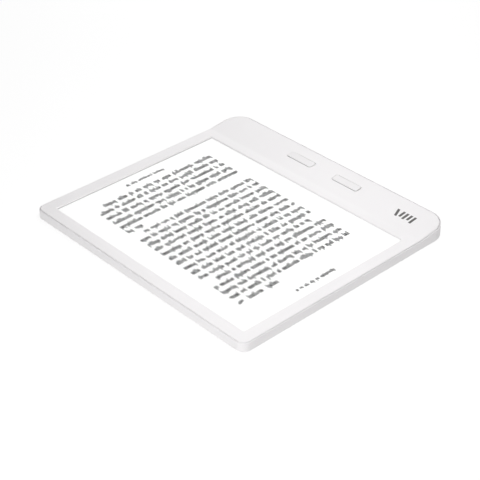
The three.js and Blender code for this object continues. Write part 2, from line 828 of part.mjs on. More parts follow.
// ---- Page buttons, in the grip frame: side is 1 for the upper button and -1 for the lower ----
const flangeTop = -bezelSkin - flangeGap;
const flangeBottom = flangeTop - flangeThickness;
const stemBottom = flangeBottom - stemLength;
const sealFloorTop = stemBottom - travelRoom;
const sealFloorBottom = sealFloorTop - sealFloor;
const switchTop = sealFloorBottom - layerGap;
const buttonBoardTop = switchTop - nubHeight - switchHeight - partGap;

function pageButtonOutline(side, grow) {
  const near = pageButtonGap / 2 - grow;
  const far = buttonFar + grow;
  const u0 = pageButtonInset - grow;
  const u1 = pageButtonInset + pageButtonWidth + grow;
  const v0 = side > 0 ? near : -far;
  const v1 = side > 0 ? far : -near;
  return roundedRect(u0, u1, v0, v1, pageButtonCorner + grow);
}

// The cap's top leans: it stands lowest at the end nearest its twin
function pageButton(side) {
  const blank = prism(pageButtonOutline(side, 0), flangeTop - 0.1, OVERSHOOT);
  const flange = prism(pageButtonOutline(side, flangeReach), flangeBottom, flangeTop);
  const middle = side * (pageButtonGap + pageButtonLength) / 2;
  const stem = rod(buttonU, middle, stemRadius, stemBottom, flangeTop);
  const lean = (pageButtonHigh - pageButtonLow) / pageButtonLength;
  const height = (v) => pageButtonLow + (v - pageButtonGap / 2) * lean;
  const low = pageButtonGap / 2 - OVERSHOOT;
  const high = buttonFar + OVERSHOOT;
  const profile = [
    new THREE.Vector2(side * low, height(low)),
    new THREE.Vector2(side * high, height(high)),
    new THREE.Vector2(side * high, 2 * OVERSHOOT),
    new THREE.Vector2(side * low, 2 * OVERSHOOT),
  ];
  const above = prismAlongX(new THREE.Shape(profile), 0, gripReach);
  return join(cut(blank, above), flange, stem);
}

// A silicone boot that closes the slot from inside
function pageSeal(side) {
  const inner = flangeReach + sealGap;
  const cup = prism(pageButtonOutline(side, inner + sealWall), sealFloorBottom, -bezelSkin - layerGap);
  return cut(cup, prism(pageButtonOutline(side, inner), sealFloorTop, OVERSHOOT));
}

function pageSwitch(side) {
  const v = side * (pageButtonGap + pageButtonLength) / 2;
  const bottom = buttonBoardTop + partGap;
  const top = bottom + switchHeight;
  const body = block(
    buttonU - switchHalfWidth, buttonU + switchHalfWidth, v - switchHalfLength, v + switchHalfLength,
    bottom, top,
  );
  return join(body, rod(buttonU, v, nubRadius, top - ROOT, switchTop));
}

function buttonBoard() {
  const board = prism(roundedRect(
    buttonBoardLeft, buttonBoardRight, -buttonBoardHalf, buttonBoardHalf, buttonBoardCorner,
  ), buttonBoardTop - buttonBoardThickness, buttonBoardTop);
  const holes = [1, -1].map((side) => rod(
    buttonU, side * buttonScrewSpacing / 2, screwShank + screwPlay,
    buttonBoardTop - OVERSHOOT, buttonBoardTop + OVERSHOOT,
  ));
  return cut(board, ...holes);
}

// The flat cable from the button board down to the main board, kept clear of the board's edge
function buttonFlex() {
  const u = buttonBoardLeft;
  const n = buttonBoardTop - buttonBoardThickness / 2;
  const x = foldX + u * Math.cos(gripSlope) - n * Math.sin(gripSlope);
  const z = thinDepth + u * Math.sin(gripSlope) + n * Math.cos(gripSlope);
  return prismAlongY(stripShape([
    [connectorLeft + 0.4, flexLevel],
    [connectorLeft + connectorWidth + 0.3, flexLevel],
    [x - 0.4, z],
  ], flexThickness), buttonConnectorY - 2, buttonConnectorY + 2);
}

// ---- Power button, on the back ----
const powerFlangeBottom = floor + powerFlangeGap;
const powerFlangeTop = powerFlangeBottom + flangeThickness;
const powerStemTop = powerFlangeTop + stemLength;
const powerSealFloor = powerStemTop + travelRoom;
const powerSealTop = powerSealFloor + sealFloor;
const powerSwitchBottom = powerSealTop + layerGap;
const powerBoardBottom = powerSwitchBottom + nubHeight + switchHeight + partGap;
const powerBoardTop = powerBoardBottom + buttonBoardThickness;

function powerButton() {
  return turned([
    [0, powerRecess + powerDish],
    [powerRadius * 0.8, powerRecess],
    [powerRadius, powerRecess],
    [powerRadius, powerFlangeBottom],
    [powerRadius + powerFlangeReach, powerFlangeBottom],
    [powerRadius + powerFlangeReach, powerFlangeTop],
    [powerStemRadius, powerFlangeTop],
    [powerStemRadius, powerStemTop],
    [0, powerStemTop],
  ], powerX, powerY);
}

function powerSeal() {
  const inner = powerRadius + powerFlangeReach + sealGap;
  return turned([
    [0, powerSealFloor],
    [inner, powerSealFloor],
    [inner, floor + layerGap],
    [inner + sealWall, floor + layerGap],
    [inner + sealWall, powerSealTop],
    [0, powerSealTop],
  ], powerX, powerY);
}

function powerSwitch() {
  const top = powerBoardBottom - partGap;
  const body = block(
    powerX - switchHalfWidth, powerX + switchHalfWidth,
    powerY - switchHalfLength, powerY + switchHalfLength,
    top - switchHeight, top,
  );
  return join(body, rod(powerX, powerY, nubRadius, powerSwitchBottom, top - ROOT));
}

function powerBoard() {
  return prism(roundedRect(
    powerX - powerBoardSide, powerX + powerBoardSide, statusY - powerBoardFoot, powerY + powerBoardHead,
    boardEdgeCorner,
  ), powerBoardBottom, powerBoardTop);
}

// The flat cable from the power board down onto the main board
function powerFlex() {
  const end = statusY - powerBoardFoot;
  const level = partBottom + flexThickness / 2;
  const line = [
    [boardHigh - 2.4, level],
    [boardHigh - 0.4, level],
    [end - 0.15, powerBoardBottom + 0.2],
  ];
  return prismAlongX(stripShape(line, flexThickness), powerX + 0.6, powerX + 4.6);
}

function statusPipe() {
  const flangeLow = floor + 2 * layerGap;
  const flangeHigh = flangeLow + statusFlangeThickness;
  const top = powerBoardBottom - statusLampRoom;
  return turned([
    [0, statusRecess],
    [statusRadius, statusRecess],
    [statusRadius, flangeLow],
    [statusRadius + statusFlangeReach, flangeLow],
    [statusRadius + statusFlangeReach, flangeHigh],
    [statusRadius, flangeHigh],
    [statusRadius, top],
    [0, top],
  ], powerX, statusY);
}

function statusLamp() {
  const top = powerBoardBottom - partGap;
  const low = top - statusLampHeight;
  return block(powerX - 0.8, powerX + 0.8, statusY - 0.5, statusY + 0.5, low, top);
}

// ---- Assembly ----
const eReader = new THREE.Group();
const grip = gripFrame();
eReader.add(grip);

function place(name, geometry, material, parent = eReader) {
  const mesh = new THREE.Mesh(geometry, material);
  mesh.name = name;
  parent.add(mesh);
  return mesh;
}

function addCase() {
  place('front_bezel', frontBezel(), materials.whiteShell);
  place('rear_cover', rearCover(), materials.whiteShell);
  place('perimeter_adhesive', perimeterAdhesive(), materials.adhesive);
  [1, -1].forEach((side, i) => place(`cover_magnet_${i + 1}`, coverMagnet(side), materials.magnet));
}

function addDisplay() {
  place('display_gasket', displayGasket(), materials.blackFoam);
  place('touch_film', prism(panelOutline(0), filmBottom, filmTop), materials.pageFilm);
  place('light_guide', prism(panelOutline(guideInset), guideBottom, guideTop), materials.clearAcrylic);
  place('light_strip', lightStrip(), materials.flexAmber);
  place('eink_panel', prism(panelOutline(0), panelBottom, panelTop), materials.panelGrey);
  place('panel_tape', ring(
    panelOutline(tapeInset), panelOutline(tapeInset + tapeWidth), frameTop + layerGap, tapeTop,
  ), materials.blackFoam);
  place('mid_frame', midFrame(), materials.magnesium);
  frameScrews.forEach(([x, y], i) => {
    const length = frameTop - holeFloor - screwTipGap;
    const mesh = place(`frame_screw_${i + 1}`, screw(length), materials.steel);
    mesh.position.set(x, y, frameTop + layerGap);
  });
}

function addBattery() {
  place('battery', battery(), materials.pouch);
  place('battery_pad', prism(roundedRect(
    batteryLeft + padInset, batteryRight - padInset, -batteryHalf + padFoot, batteryHalf - padHead,
    padCorner,
  ), floor + layerGap, floor + layerGap + padThickness), materials.adhesive);
  place('battery_lead', batteryLead(), materials.wireBlack);
  place('battery_connector', connector(batteryConnectorY, 5), materials.connectorIvory);
}

function addMainBoard() {
  place('main_board', mainBoard(), materials.boardGreen);
  boardScrews.forEach(([x, y], i) => {
    const length = boardTop - holeFloor - screwTipGap;
    const mesh = place(`board_screw_${i + 1}`, screw(length), materials.steel);
    mesh.position.set(x, y, boardTop + layerGap);
  });
  const processor = chip(shieldX, shieldY, processorSize, processorSize, 1);
  place('processor', processor, materials.epoxyBlack);
  place('processor_shield', processorShield(), materials.tinPlate);
  place('memory_chip', underChip(shieldX, shieldY, 11, 10), materials.epoxyBlack);
  place('storage_chip', underChip(shieldX, portY, 11, 9), materials.epoxyBlack);
  place('power_chip', chip(boardLeft + 7.5, boardHigh - 5.4, 5, 5, 0.9), materials.epoxyBlack);
  place('hall_sensor', chip(boardRight - 7, boardHigh - 6.6, 3, 1.6, 0.75), materials.epoxyBlack);
  place('wifi_module', chip(wifiX, wifiY, wifiWidth, wifiLength, wifiHeight), materials.tinPlate);
  place('wifi_antenna', antenna(), materials.flexAmber);
  place('antenna_lead', antennaLead(), materials.wireBlack);
  place('usb_receptacle', portReceptacle(), materials.steel);
  place('usb_seal', portSeal(), materials.silicone);
}

function addCables() {
  place('display_connector', connector(displayConnectorY, 14), materials.connectorIvory);
  place('display_flex', sideFlex(
    (panelTop + panelBottom) / 2, displayConnectorY - 6, displayConnectorY + 6,
  ), materials.flexAmber);
  place('touch_connector', connector(touchConnectorY, 8), materials.connectorIvory);
  place('touch_flex', sideFlex(
    (filmTop + filmBottom) / 2, touchConnectorY - 3, touchConnectorY + 3,
  ), materials.flexAmber);
  place('light_connector', connector(lightConnectorY, 5), materials.connectorIvory);
  place('button_connector', connector(buttonConnectorY, 5), materials.connectorIvory);
  place('button_flex', buttonFlex(), materials.flexAmber);
}

function addPageButtons() {
  for (const [name, side] of [['upper', 1], ['lower', -1]]) {
    place(`${name}_page_button`, pageButton(side), materials.whiteShell, grip);
    place(`${name}_page_seal`, pageSeal(side), materials.silicone, grip);
    place(`${name}_page_switch`, pageSwitch(side), materials.steel, grip);
  }
  place('button_board', buttonBoard(), materials.boardGreen, grip);
  [1, -1].forEach((side, i) => {
    const mesh = place(`button_screw_${i + 1}`, screw(buttonScrewLength), materials.steel, grip);
    mesh.rotation.x = Math.PI;
    mesh.position.set(
      buttonU, side * buttonScrewSpacing / 2, buttonBoardTop - buttonBoardThickness - layerGap,
    );
  });
}

function addPowerButton() {
  place('power_button', powerButton(), materials.whiteShell);
  place('power_seal', powerSeal(), materials.silicone);
  place('power_switch', powerSwitch(), materials.steel);
  place('power_board', powerBoard(), materials.boardGreen);
  place('power_flex', powerFlex(), materials.flexAmber);
  place('status_light_pipe', statusPipe(), materials.clearAcrylic);
  place('status_lamp', statusLamp(), materials.connectorIvory);
}

addCase();
addDisplay();
addBattery();
addMainBoard();
addCables();
addPageButtons();
addPowerButton();

export default eReader;
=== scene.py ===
import json
import math
import random

import bmesh
import bpy
from mathutils import Matrix, Vector


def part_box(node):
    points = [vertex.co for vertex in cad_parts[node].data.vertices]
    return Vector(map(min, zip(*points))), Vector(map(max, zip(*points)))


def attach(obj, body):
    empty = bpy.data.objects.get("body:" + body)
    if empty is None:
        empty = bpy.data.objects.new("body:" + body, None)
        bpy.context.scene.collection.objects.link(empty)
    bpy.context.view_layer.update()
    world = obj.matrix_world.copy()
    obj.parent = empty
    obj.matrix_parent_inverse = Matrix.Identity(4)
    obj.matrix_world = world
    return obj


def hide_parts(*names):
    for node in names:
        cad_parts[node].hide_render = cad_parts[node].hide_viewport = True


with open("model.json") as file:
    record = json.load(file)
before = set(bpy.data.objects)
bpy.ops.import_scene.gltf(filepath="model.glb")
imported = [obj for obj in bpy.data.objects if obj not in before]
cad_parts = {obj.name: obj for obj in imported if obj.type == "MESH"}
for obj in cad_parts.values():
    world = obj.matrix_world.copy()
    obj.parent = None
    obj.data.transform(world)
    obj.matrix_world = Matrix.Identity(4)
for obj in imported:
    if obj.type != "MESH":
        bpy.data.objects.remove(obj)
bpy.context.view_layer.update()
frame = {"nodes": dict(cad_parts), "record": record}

MM = 0.001

# ---- Sizes of the case, in millimetres, read from the frame where it has them ----
_, cover_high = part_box("rear_cover")
_, bezel_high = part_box("front_bezel")
_, film_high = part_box("touch_film")
gasket_low, gasket_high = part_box("display_gasket")

HALF_X = cover_high.x / MM
HALF_Y = cover_high.y / MM
GRIP_DEPTH = bezel_high.z / MM
FILM_TOP = film_high.z / MM
WINDOW_DEPTH = 1.0  # from the front face down to the page
THIN_DEPTH = FILM_TOP + WINDOW_DEPTH
GASKET_REACH = 1.8  # window edge to the outside of the foam gasket
WINDOW_LEFT = gasket_low.x / MM + GASKET_REACH
WINDOW_RIGHT = gasket_high.x / MM - GASKET_REACH
WINDOW_HALF = gasket_high.y / MM - GASKET_REACH
WINDOW_CORNER = 0.6
FOLD_GAP = 6.15  # from the window to the fold, where the grip starts to rise
FOLD_X = WINDOW_RIGHT + FOLD_GAP
BEZEL_INSET = HALF_X - bezel_high.x / MM
GRIP_SLOPE = math.atan2(GRIP_DEPTH - THIN_DEPTH, HALF_X - BEZEL_INSET - FOLD_X)
FOLD_SOFTNESS = 0.45  # half the width over which the fold turns

# The case; a drop is measured down from the front face, square to it
THIN_CORNER = 4.75
GRIP_CORNER = 11.5
LEAST_RADIUS = 0.05  # no corner and no closing ring is drawn in to a point
WALL = 1.2
FLOOR = 0.8  # thickness of the back
BACK_FILLET = 0.35
BEZEL_SKIN = 0.8
LEDGE_DROP = 1.0  # the ledge inside the cover that the bezel sits on
RIM_WIDTH = 0.42  # the cover's thin rim round the bezel
RIM_DROP = 0.32
RIM_ROUND = 0.16
RIM_CHAMFER = 0.06
SEAM_INSET = 0.6
BEZEL_ROUND = 0.5
GRIP_ROUND = 0.78  # the edge grows rounder over the grip
ROUND_RUN = 8.0  # and this far past the fold it has its full size
SKIRT_INSET = 1.4  # the rib under the bezel that locates it in the cover
SKIRT_WIDTH = 0.8
SKIRT_DROP = 1.6
SKIRT_LANDING = 0.4  # how far inside the rib the flat underside starts
WINDOW_LIP = 0.75

# The page buttons, in the grip's own plane: across from the fold, along from the middle of the reader
PAGE_BUTTON_INSET = 9.05
PAGE_BUTTON_WIDTH = 4.7
PAGE_BUTTON_LENGTH = 18.0
PAGE_BUTTON_NEAR = 8.0
PAGE_BUTTON_CORNER = 1.1
PAGE_BUTTON_LOW = 0.12  # how far the cap stands proud at its near end
PAGE_BUTTON_HIGH = 0.32  # and at its far end
PAGE_BUTTON_ROUND = 0.28
BUTTON_PLAY = 0.24
SLOT_ROUND = 0.15
FLANGE_REACH = 0.7
FLANGE_TOP = -1.0
FLANGE_BOTTOM = -1.5
STEM_BOTTOM = -1.7
STEM_RADIUS = 1.0

# The holes through the back and the mouth of the port
POWER_FLANGE = 1.0  # how far the power button's flange reaches past its face
POWER_PLAY = 0.25
POWER_FLARE = 0.25
POWER_DISH = 0.16  # how deep the middle of its face is dished
POWER_ROUND = 0.25
POWER_POST = 1.2  # radius of the post that presses the switch
POWER_FLANGE_GAP = 0.15
POWER_FLANGE_THICKNESS = 0.5
STATUS_FLANGE = 0.7  # the same for the status light's pipe
STATUS_PLAY = 0.1
STATUS_FLARE = 0.1
PORT_PLAY = 0.35
PORT_CORNER = 1.2
PORT_FLARE = 0.3  # how far the port's mouth opens towards the outside


# ---- Camera ----
CAMERA_AZIMUTH = math.radians(-42.506)
CAMERA_ELEVATION = math.radians(34.103)
CAMERA_ROLL = math.radians(-0.573)
CAMERA_DISTANCE = 695.222  # millimetres, along the line of sight
CAMERA_AIM = (0.239, 8.075)  # the origin's place right of and above the middle of the view
CAMERA_LENS = 100.713


def make_camera():
    """A camera on a ring round the reader, rolled slightly, with the reader a little off centre."""
    back = Vector((
        math.sin(CAMERA_AZIMUTH) * math.cos(CAMERA_ELEVATION),
        -math.cos(CAMERA_AZIMUTH) * math.cos(CAMERA_ELEVATION),
        math.sin(CAMERA_ELEVATION),
    ))
    level = Vector((0, 0, 1)).cross(back).normalized()
    upright = back.cross(level)
    turn = Matrix.Rotation(CAMERA_ROLL, 3, back)
    right = turn @ level
    up = turn @ upright
    data = bpy.data.cameras.new("reader_camera")
    data.lens = CAMERA_LENS
    data.sensor_width = 36
    data.clip_start = 0.01
    data.clip_end = 20
    camera = bpy.data.objects.new("reader_camera", data)
    bpy.context.scene.collection.objects.link(camera)
    place = (back * CAMERA_DISTANCE - right * CAMERA_AIM[0] - up * CAMERA_AIM[1]) * MM
    axes = Matrix((right, up, back)).transposed().to_4x4()
    camera.matrix_world = Matrix.Translation(place) @ axes
    bpy.context.scene.camera = camera


# ---- Node helpers ----
def srgb(code):
    """A linear colour from an sRGB hex value such as '#F4F2F0'."""
    channels = [int(code[i:i + 2], 16) / 255 for i in (1, 3, 5)]
    linear = [c / 12.92 if c <= 0.04045 else ((c + 0.055) / 1.055) ** 2.4 for c in channels]
    return (*linear, 1)


def add(tree, kind, inputs=None, shades=None, **settings):
    """Adds a node with its settings and links; an input is a value or the socket that feeds it."""
    made = tree.nodes.new(kind)
    for name, value in settings.items():
        setattr(made, name, value)
    for name, value in (inputs or {}).items():
        if isinstance(value, bpy.types.NodeSocket):
            tree.links.new(value, made.inputs[name])
        else:
            made.inputs[name].default_value = value
    if shades:
        for stop, (place, code) in zip(made.color_ramp.elements, shades):
            stop.position = place
            stop.color = srgb(code)
    return made


def new_material(name, surface):
    """A material with one surface shader whose uniform sockets are set by name."""
    material = bpy.data.materials.new(name)
    material.use_nodes = True
    tree = material.node_tree
    tree.nodes.clear()
    shader = add(tree, "ShaderNodeBsdfPrincipled", surface)
    add(tree, "ShaderNodeOutputMaterial", {"Surface": shader.outputs["BSDF"]})
    return material, tree, shader


def dress(tree, shader, colour=None, roughness=None, normal=None):
    """Feeds patterns to the surface shader."""
    for name, socket in (("Base Color", colour), ("Roughness", roughness), ("Normal", normal)):
        if socket is not None:
            tree.links.new(socket, shader.inputs[name])


# ---- Moulded plastics ----
CLOUD_PITCH = 38.0  # broad, hardly visible drift of shade over a moulding
NOISE_LOW, NOISE_HIGH = 0.25, 0.75  # the span that most of a noise pattern's values fall in
SHADE_LOW, SHADE_HIGH = 0.3, 0.7  # where in it the darker and the lighter shade are reached
GLOSS_SWING = 0.05  # how far a moulding's roughness wanders each way


def moulding(name, shades, roughness, grain_mm, depth_mm, surface):
    """A moulded plastic: a broad drift between two close shades, and its tool's grain in gloss and
    relief. Returned with its bump, so that coarser relief can be laid over it."""
    material, tree, shader = new_material(name, surface)
    place = add(tree, "ShaderNodeTexCoord").outputs["Object"]
    drift = add(tree, "ShaderNodeTexNoise", {
        "Vector": place, "Scale": 1000 / CLOUD_PITCH, "Detail": 3.0,
    })
    stops = [(SHADE_LOW, shades[0]), (SHADE_HIGH, shades[1])]
    colour = add(tree, "ShaderNodeValToRGB", {"Fac": drift.outputs["Fac"]}, stops)
    grain = add(tree, "ShaderNodeTexNoise", {
        "Vector": place, "Scale": 1000 / grain_mm, "Detail": 3.0, "Roughness": 0.6,
    })
    gloss = add(tree, "ShaderNodeMapRange", {
        "Value": grain.outputs["Fac"], "From Min": NOISE_LOW, "From Max": NOISE_HIGH,
        "To Min": roughness - GLOSS_SWING, "To Max": roughness + GLOSS_SWING,
    })
    bump = add(tree, "ShaderNodeBump", {
        "Height": grain.outputs["Fac"], "Distance": depth_mm * MM, "Strength": 0.6,
    })
    dress(tree, shader, colour.outputs["Color"], gloss.outputs["Result"], bump.outputs["Normal"])
    return material, tree, shader, bump


def moulded_shell_plastic(name="moulded_pc_abs_white"):
    """White polycarbonate-ABS from a spark-eroded tool: an even soft sheen over a very fine grain.

    The real grain is about 0.05 mm across; it is drawn at 0.9 mm so that it shows at all."""
    surface = {"IOR": 1.54, "Specular IOR Level": 0.3}
    return moulding(name, ("#F1EFF0", "#F4F2F3"), 0.55, 0.9, 0.006, surface)


DIMPLE_PITCH = 2.6  # between the dimples in the back
DIMPLE_RADIUS = 0.75
DIMPLE_DEPTH = 0.2
DIMPLE_TOP = 0.12  # above this height on the case the back has turned into its edge


def moulded_back_plastic():
    """The shell's white plastic with rows of round dimples moulded into the back, for grip."""
    material, tree, shader, fine = moulded_shell_plastic("moulded_pc_abs_white_dimpled")
    place = add(tree, "ShaderNodeTexCoord").outputs["Object"]
    cells = add(tree, "ShaderNodeTexVoronoi", {
        "Vector": place, "Scale": 1000 / DIMPLE_PITCH, "Randomness": 0.0,
    }, voronoi_dimensions="2D")
    bowl = add(tree, "ShaderNodeMapRange", {
        "Value": cells.outputs["Distance"], "From Min": 0.0, "From Max": DIMPLE_RADIUS / DIMPLE_PITCH,
        "To Min": 0.0, "To Max": 1.0,
    }, interpolation_type="SMOOTHSTEP")
    height = add(tree, "ShaderNodeSeparateXYZ", {"Vector": place})
    flat = add(tree, "ShaderNodeMapRange", {
        "Value": height.outputs["Z"], "From Min": 0.0, "From Max": DIMPLE_TOP * MM,
        "To Min": 0.0, "To Max": 1.0,
    })
    level = add(tree, "ShaderNodeMath", {
        0: bowl.outputs["Result"], 1: flat.outputs["Result"],
    }, operation="MAXIMUM")
    dimples = add(tree, "ShaderNodeBump", {
        "Height": level.outputs["Value"], "Distance": DIMPLE_DEPTH * MM, "Strength": 1.0,
        "Normal": fine.outputs["Normal"],
    })
    dress(tree, shader, normal=dimples.outputs["Normal"])
    return material


def moulded_button_plastic():
    """White ABS caps, one step smoother than the shell, so that their rims catch the light; their two
    shades are a step darker than the shell's, painted shade that keeps them as dark as the grip.
    """
    surface = {"IOR": 1.53, "Specular IOR Level": 0.4}
    # the caps' shades are the shell's white darkened a step: painted shade
    return moulding("moulded_abs_button_white_painted_shade", ("#E8E6E7", "#EBE9EA"), 0.42, 0.7, 0.004, surface)[0]


# ---- The page and what is printed ----
PAGE_GLOW = 0.62  # strength of the painted glow that stands for the page's edge light and fills the window edge's shadow
PAGE_SHADE_MARGIN_X = -0.4  # from the window's edges in to the glowing image area, outside which the page is painted shade; it runs under them here
# the grey band left here between the window's edge and the glowing area is a painted shadow line
PAGE_SHADE_MARGIN_Y = 0.14


def matt_coated_page():
    """E-paper under anti-glare film: pale grey pigment, lifted to an even white inside the image area
    by a painted glow that stands for the reader's own edge light and fills the window edge's shadow,
    with a grey margin round it that does not glow, a painted shadow line, and a fine dry sparkle."""
    surface = {"IOR": 1.5, "Specular IOR Level": 0.35, "Emission Color": srgb("#FFFFFF")}
    material, tree, shader, _ = moulding(
        "anti_glare_film_over_page", ("#A9A9A8", "#ADADAC"), 0.5, 0.4, 0.002, surface,
    )
    place = add(tree, "ShaderNodeTexCoord").outputs["Object"]
    spot = add(tree, "ShaderNodeSeparateXYZ", {"Vector": place})
    inside = None
    for axis, low, high in (
        ("X", WINDOW_LEFT + PAGE_SHADE_MARGIN_X, WINDOW_RIGHT - PAGE_SHADE_MARGIN_X),
        ("Y", PAGE_SHADE_MARGIN_Y - WINDOW_HALF, WINDOW_HALF - PAGE_SHADE_MARGIN_Y),
    ):
        middle = (low + high) / 2 * MM
        reach = (high - low) / 2 * MM
        off = add(tree, "ShaderNodeMath", {0: spot.outputs[axis], 1: middle}, operation="SUBTRACT")
        far = add(tree, "ShaderNodeMath", {0: off.outputs["Value"]}, operation="ABSOLUTE")
        near = add(tree, "ShaderNodeMath", {0: far.outputs["Value"], 1: reach}, operation="LESS_THAN")
        share = near.outputs["Value"]
        if inside is not None:
            both = add(tree, "ShaderNodeMath", {0: inside, 1: share}, operation="MULTIPLY")
            share = both.outputs["Value"]
        inside = share
    # painted glow: it stands for the edge light and is strong enough to fill the window edge's shadow
    glow = add(tree, "ShaderNodeMath", {0: inside, 1: PAGE_GLOW}, operation="MULTIPLY")
    tree.links.new(glow.outputs["Value"], shader.inputs["Emission Strength"])
    return material


def page_pigment():
    """Black e-paper pigment: a matt charcoal, slightly uneven where its dots meet."""
    surface = {"IOR": 1.45, "Specular IOR Level": 0.1}
    return moulding("e_paper_black_pigment", ("#0A0A0B", "#121213"), 0.8, 0.25, 0.001, surface)[0]


def printed_mark_ink():
    """Pad-printed grey ink on the grip: matt, with the faint mottle of a thin printed film."""
    surface = {"IOR": 1.48, "Specular IOR Level": 0.3}
    return moulding("pad_printed_grey_ink", ("#5A5857", "#636160"), 0.55, 0.5, 0.001, surface)[0]


# ---- Finishes inside the case and in its openings ----
METAL_GLOSS_SWING = 0.08
METAL_GRAIN_DEPTH = 0.004


def worked_metal(name, shades, roughness, pitch_mm, stretch=(1, 1, 1)):
    """A metal with a grain; stretch draws the grain out along an axis, as brushing or rolling does."""
    material, tree, shader = new_material(name, {"Metallic": 1.0})
    place = add(tree, "ShaderNodeTexCoord").outputs["Object"]
    drawn = add(tree, "ShaderNodeMapping", {"Vector": place, "Scale": stretch})
    lines = add(tree, "ShaderNodeTexNoise", {
        "Vector": drawn.outputs["Vector"], "Scale": 1000 / pitch_mm, "Detail": 4.0,
    })
    stops = [(SHADE_LOW, shades[0]), (SHADE_HIGH, shades[1])]
    colour = add(tree, "ShaderNodeValToRGB", {"Fac": lines.outputs["Fac"]}, stops)
    gloss = add(tree, "ShaderNodeMapRange", {
        "Value": lines.outputs["Fac"], "From Min": NOISE_LOW, "From Max": NOISE_HIGH,
        "To Min": roughness - METAL_GLOSS_SWING, "To Max": roughness + METAL_GLOSS_SWING,
    })
    bump = add(tree, "ShaderNodeBump", {
        "Height": lines.outputs["Fac"], "Distance": METAL_GRAIN_DEPTH * MM, "Strength": 0.6,
    })
    dress(tree, shader, colour.outputs["Color"], gloss.outputs["Result"], bump.outputs["Normal"])
    return material


TRACK_LENGTH = 6.0
TRACK_PITCH = 0.9
TRACK_GAP = 0.12
TRACK_STEP = 0.03


def solder_mask_board():
    """Green solder mask over copper: lighter tracks run in straight lanes under a glossy coat."""
    coat = {"IOR": 1.55, "Roughness": 0.35}
    material, tree, shader = new_material("solder_mask_on_glass_epoxy", coat)
    place = add(tree, "ShaderNodeTexCoord").outputs["Object"]
    lanes = add(tree, "ShaderNodeTexBrick", {
        "Vector": place, "Scale": 1000.0,
        "Mortar Size": TRACK_GAP, "Brick Width": TRACK_LENGTH, "Row Height": TRACK_PITCH,
        "Color1": srgb("#14523A"), "Color2": srgb("#1B6145"), "Mortar": srgb("#2A7A58"),
    })
    bump = add(tree, "ShaderNodeBump", {
        "Height": lanes.outputs["Fac"], "Distance": TRACK_STEP * MM, "Strength": 0.5,
    })
    dress(tree, shader, lanes.outputs["Color"], normal=bump.outputs["Normal"])
    return material


FLEX_LANE = 0.5
FLEX_STEP = 0.01
WAVES_PER_UNIT = 20  # a wave pattern at scale one has about this many radians to the unit


def polyimide_flex():
    """Amber polyimide over copper lanes: a glossy film with fine stripes half a millimetre apart."""
    material, tree, shader = new_material("polyimide_flat_cable", {"IOR": 1.6, "Roughness": 0.3})
    place = add(tree, "ShaderNodeTexCoord").outputs["Object"]
    lanes = add(tree, "ShaderNodeTexWave", {
        "Vector": place, "Scale": 1000 / FLEX_LANE / WAVES_PER_UNIT, "Distortion": 0.0,
    }, bands_direction="Y")
    stops = [(SHADE_LOW, "#A8692A"), (SHADE_HIGH, "#C98D3F")]
    colour = add(tree, "ShaderNodeValToRGB", {"Fac": lanes.outputs["Fac"]}, stops)
    bump = add(tree, "ShaderNodeBump", {
        "Height": lanes.outputs["Fac"], "Distance": FLEX_STEP * MM, "Strength": 0.4,
    })
    dress(tree, shader, colour.outputs["Color"], normal=bump.outputs["Normal"])
    return material


# ---- Outlines and surfaces, in millimetres ----
def arc(cx, cy, radius, start, steps):
    """Points on a quarter circle, anticlockwise from the angle given in quarter turns."""
    angles = [(start + i / steps) * math.pi / 2 for i in range(steps + 1)]
    return [(cx + radius * math.cos(a), cy + radius * math.sin(a)) for a in angles]


GRIP_STEPS = 20
THIN_STEPS = 12
# Where the long sides have points, as distances past the fold: close together where it turns
FOLD_STATIONS = [9.5, 8, 6.5, 5, 3.5, 2.2, 1.2, 0.45, 0.3, 0.15, 0, -0.15, -0.3, -0.45, -1.2]


def case_outline(inset):
    """The case's plan outline drawn in by inset: the upper half from +X to -X, then its mirror."""
    grip = max(GRIP_CORNER - inset, LEAST_RADIUS)
    thin = max(THIN_CORNER - inset, LEAST_RADIUS)
    right = HALF_X - inset
    top = HALF_Y - inset
    upper = arc(right - grip, top - grip, grip, 0, GRIP_STEPS)
    upper += [(FOLD_X + step, top) for step in FOLD_STATIONS]
    upper += arc(-right + thin, top - thin, thin, 1, THIN_STEPS)
    return upper + [(x, -y) for x, y in reversed(upper)]


def block_outline(x0, x1, half, corner, steps=8):
    """A rounded rectangle from x0 to x1 and half each way in Y, ordered as case_outline is."""
    upper = arc(x1 - corner, half - corner, corner, 0, steps)
    upper += arc(x0 + corner, half - corner, corner, 1, steps)
    return upper + [(x, -y) for x, y in reversed(upper)]


def front(x, drop):
    """Height of the front face at x when it is lowered by drop, square to itself."""
    turn = FOLD_X + drop * math.tan(GRIP_SLOPE / 2)
    past = x - turn
    rise = math.tan(GRIP_SLOPE)
    if past <= -FOLD_SOFTNESS:
        lift = 0.0
    elif past >= FOLD_SOFTNESS:
        lift = past * rise
    else:
        lift = rise * (past + FOLD_SOFTNESS) ** 2 / (4 * FOLD_SOFTNESS)
    return THIN_DEPTH - drop + lift


def level_ring(outline, z):
    return [Vector((x, y, z)) for x, y in outline]


def front_ring(inset, drop):
    return [Vector((x, y, front(x, drop))) for x, y in case_outline(inset)]


def edge_ring(inward, downward):
    """One ring of the front's rounded edge, given as shares of the edge's radius at each point."""
    ring = []
    for (x0, y0), (x1, y1) in zip(case_outline(0), case_outline(1)):
        share = min(max((x0 - FOLD_X) / ROUND_RUN, 0), 1)
        radius = BEZEL_ROUND + (GRIP_ROUND - BEZEL_ROUND) * share * share * (3 - 2 * share)
        inset = SEAM_INSET + radius * inward
        x = x0 + (x1 - x0) * inset
        ring.append(Vector((x, y0 + (y1 - y0) * inset, front(x, radius * downward))))
    return ring


def quarter_steps(count):
    """Angles through a quarter turn, both ends with them."""
    return [i / count * math.pi / 2 for i in range(count + 1)]


# ---- Mesh helpers ----
def link(name, mesh):
    made = bpy.data.objects.new(name, mesh)
    bpy.context.scene.collection.objects.link(made)
    return made


